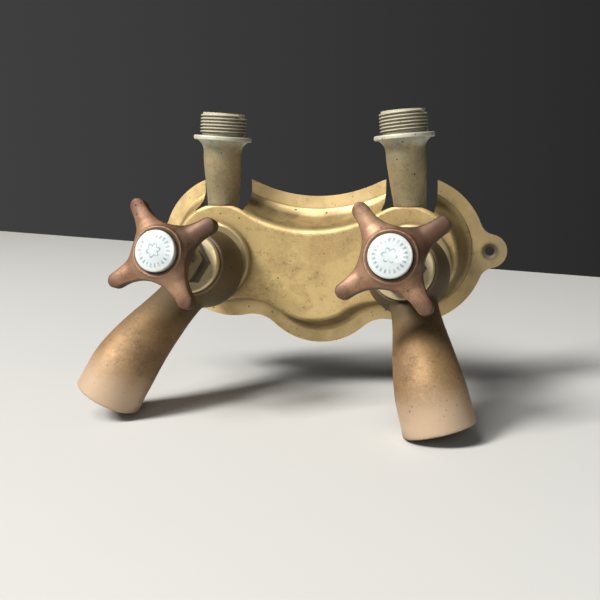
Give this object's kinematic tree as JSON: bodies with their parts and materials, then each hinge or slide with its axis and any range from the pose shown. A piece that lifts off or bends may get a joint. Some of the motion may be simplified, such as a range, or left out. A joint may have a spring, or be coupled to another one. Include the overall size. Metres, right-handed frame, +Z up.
{
  "type": "wall-mounted bath tap pair",
  "caption": "Old brass wall-mounted tap pair: a pressed backplate with threaded top inlets, swivelling spouts and cross handles with porcelain buttons.",
  "frame": {"origin": "on the wall plane, halfway between the two wall screw holes", "axes": "+X to the right as the user faces the taps, +Y into the wall, +Z up; the spouts and handles point to -Y"},
  "size_m": [0.2207, 0.1103, 0.1614],
  "materials": {
    "plate_brass": "tarnished satin, dark pits",
    "pipe_brass": "dull, verdigris in patches",
    "ring_brass": "dark patina",
    "body_brass": "dull satin",
    "spout_brass": "brown patina, worn bright in places",
    "bonnet_brass": "worn satin",
    "spindle_brass": "machined",
    "handle_copper_brass": "worn, red-brown tips",
    "fibre": "pressed fibre",
    "packing": "greased hemp",
    "rubber": "matte",
    "porcelain": "glossy glaze"
  },
  "bodies": {
    "fixed": {"backplate": "plate_brass", "inlet_elbow_left": "pipe_brass", "clamp_ring_left": "ring_brass", "joint_washer_left": "fibre", "valve_body_left": "body_brass", "spout_rear_washer_left": "fibre", "spout_front_washer_left": "fibre", "bonnet_left": "bonnet_brass", "bonnet_gasket_left": "fibre", "gland_packing_left": "packing", "gland_nut_left": "body_brass", "inlet_elbow_right": "pipe_brass", "clamp_ring_right": "ring_brass", "joint_washer_right": "fibre", "valve_body_right": "body_brass", "spout_rear_washer_right": "fibre", "spout_front_washer_right": "fibre", "bonnet_right": "bonnet_brass", "bonnet_gasket_right": "fibre", "gland_packing_right": "packing", "gland_nut_right": "body_brass"},
    "spout_left": {"spout_left": "spout_brass"},
    "valve_left": {"jumper_valve_left": "spindle_brass", "valve_washer_left": "rubber", "washer_nut_left": "spindle_brass"},
    "handle_left": {"spindle_left": "spindle_brass", "cross_handle_left": "handle_copper_brass", "handle_screw_left": "spindle_brass", "index_button_left": "porcelain"},
    "spout_right": {"spout_right": "spout_brass"},
    "valve_right": {"jumper_valve_right": "spindle_brass", "valve_washer_right": "rubber", "washer_nut_right": "spindle_brass"},
    "handle_right": {"spindle_right": "spindle_brass", "cross_handle_right": "handle_copper_brass", "handle_screw_right": "spindle_brass", "index_button_right": "porcelain"}
  },
  "joints": [
    {"name": "spout_swivel_left", "type": "hinge", "parent": "fixed", "child": "spout_left", "pos_m": [-0.0578, -0.021, -0.0129], "axis": [0, -0.9686, 0.2487], "range_deg": [-53, 47]},
    {"name": "valve_lift_left", "type": "slide", "parent": "fixed", "child": "valve_left", "axis": [0, -0.9686, 0.2487], "range_m": [0, 0.0075]},
    {"name": "handle_turn_left", "type": "hinge", "parent": "valve_left", "child": "handle_left", "pos_m": [-0.0578, -0.021, -0.0129], "axis": [0, -0.9686, 0.2487], "range_deg": [0, 900]},
    {"name": "spout_swivel_right", "type": "hinge", "parent": "fixed", "child": "spout_right", "pos_m": [0.0578, -0.021, -0.0129], "axis": [0, -0.9686, 0.2487], "range_deg": [-36, 64]},
    {"name": "valve_lift_right", "type": "slide", "parent": "fixed", "child": "valve_right", "axis": [0, -0.9686, 0.2487], "range_m": [0, 0.0075]},
    {"name": "handle_turn_right", "type": "hinge", "parent": "valve_right", "child": "handle_right", "pos_m": [0.0578, -0.021, -0.0129], "axis": [0, -0.9686, 0.2487], "range_deg": [0, 900]}
  ],
  "couplings": [
    {"joint": "handle_turn_left", "follows": "valve_lift_left", "rad_per_m": 2094.4},
    {"joint": "handle_turn_right", "follows": "valve_lift_right", "rad_per_m": 2094.4}
  ]
}
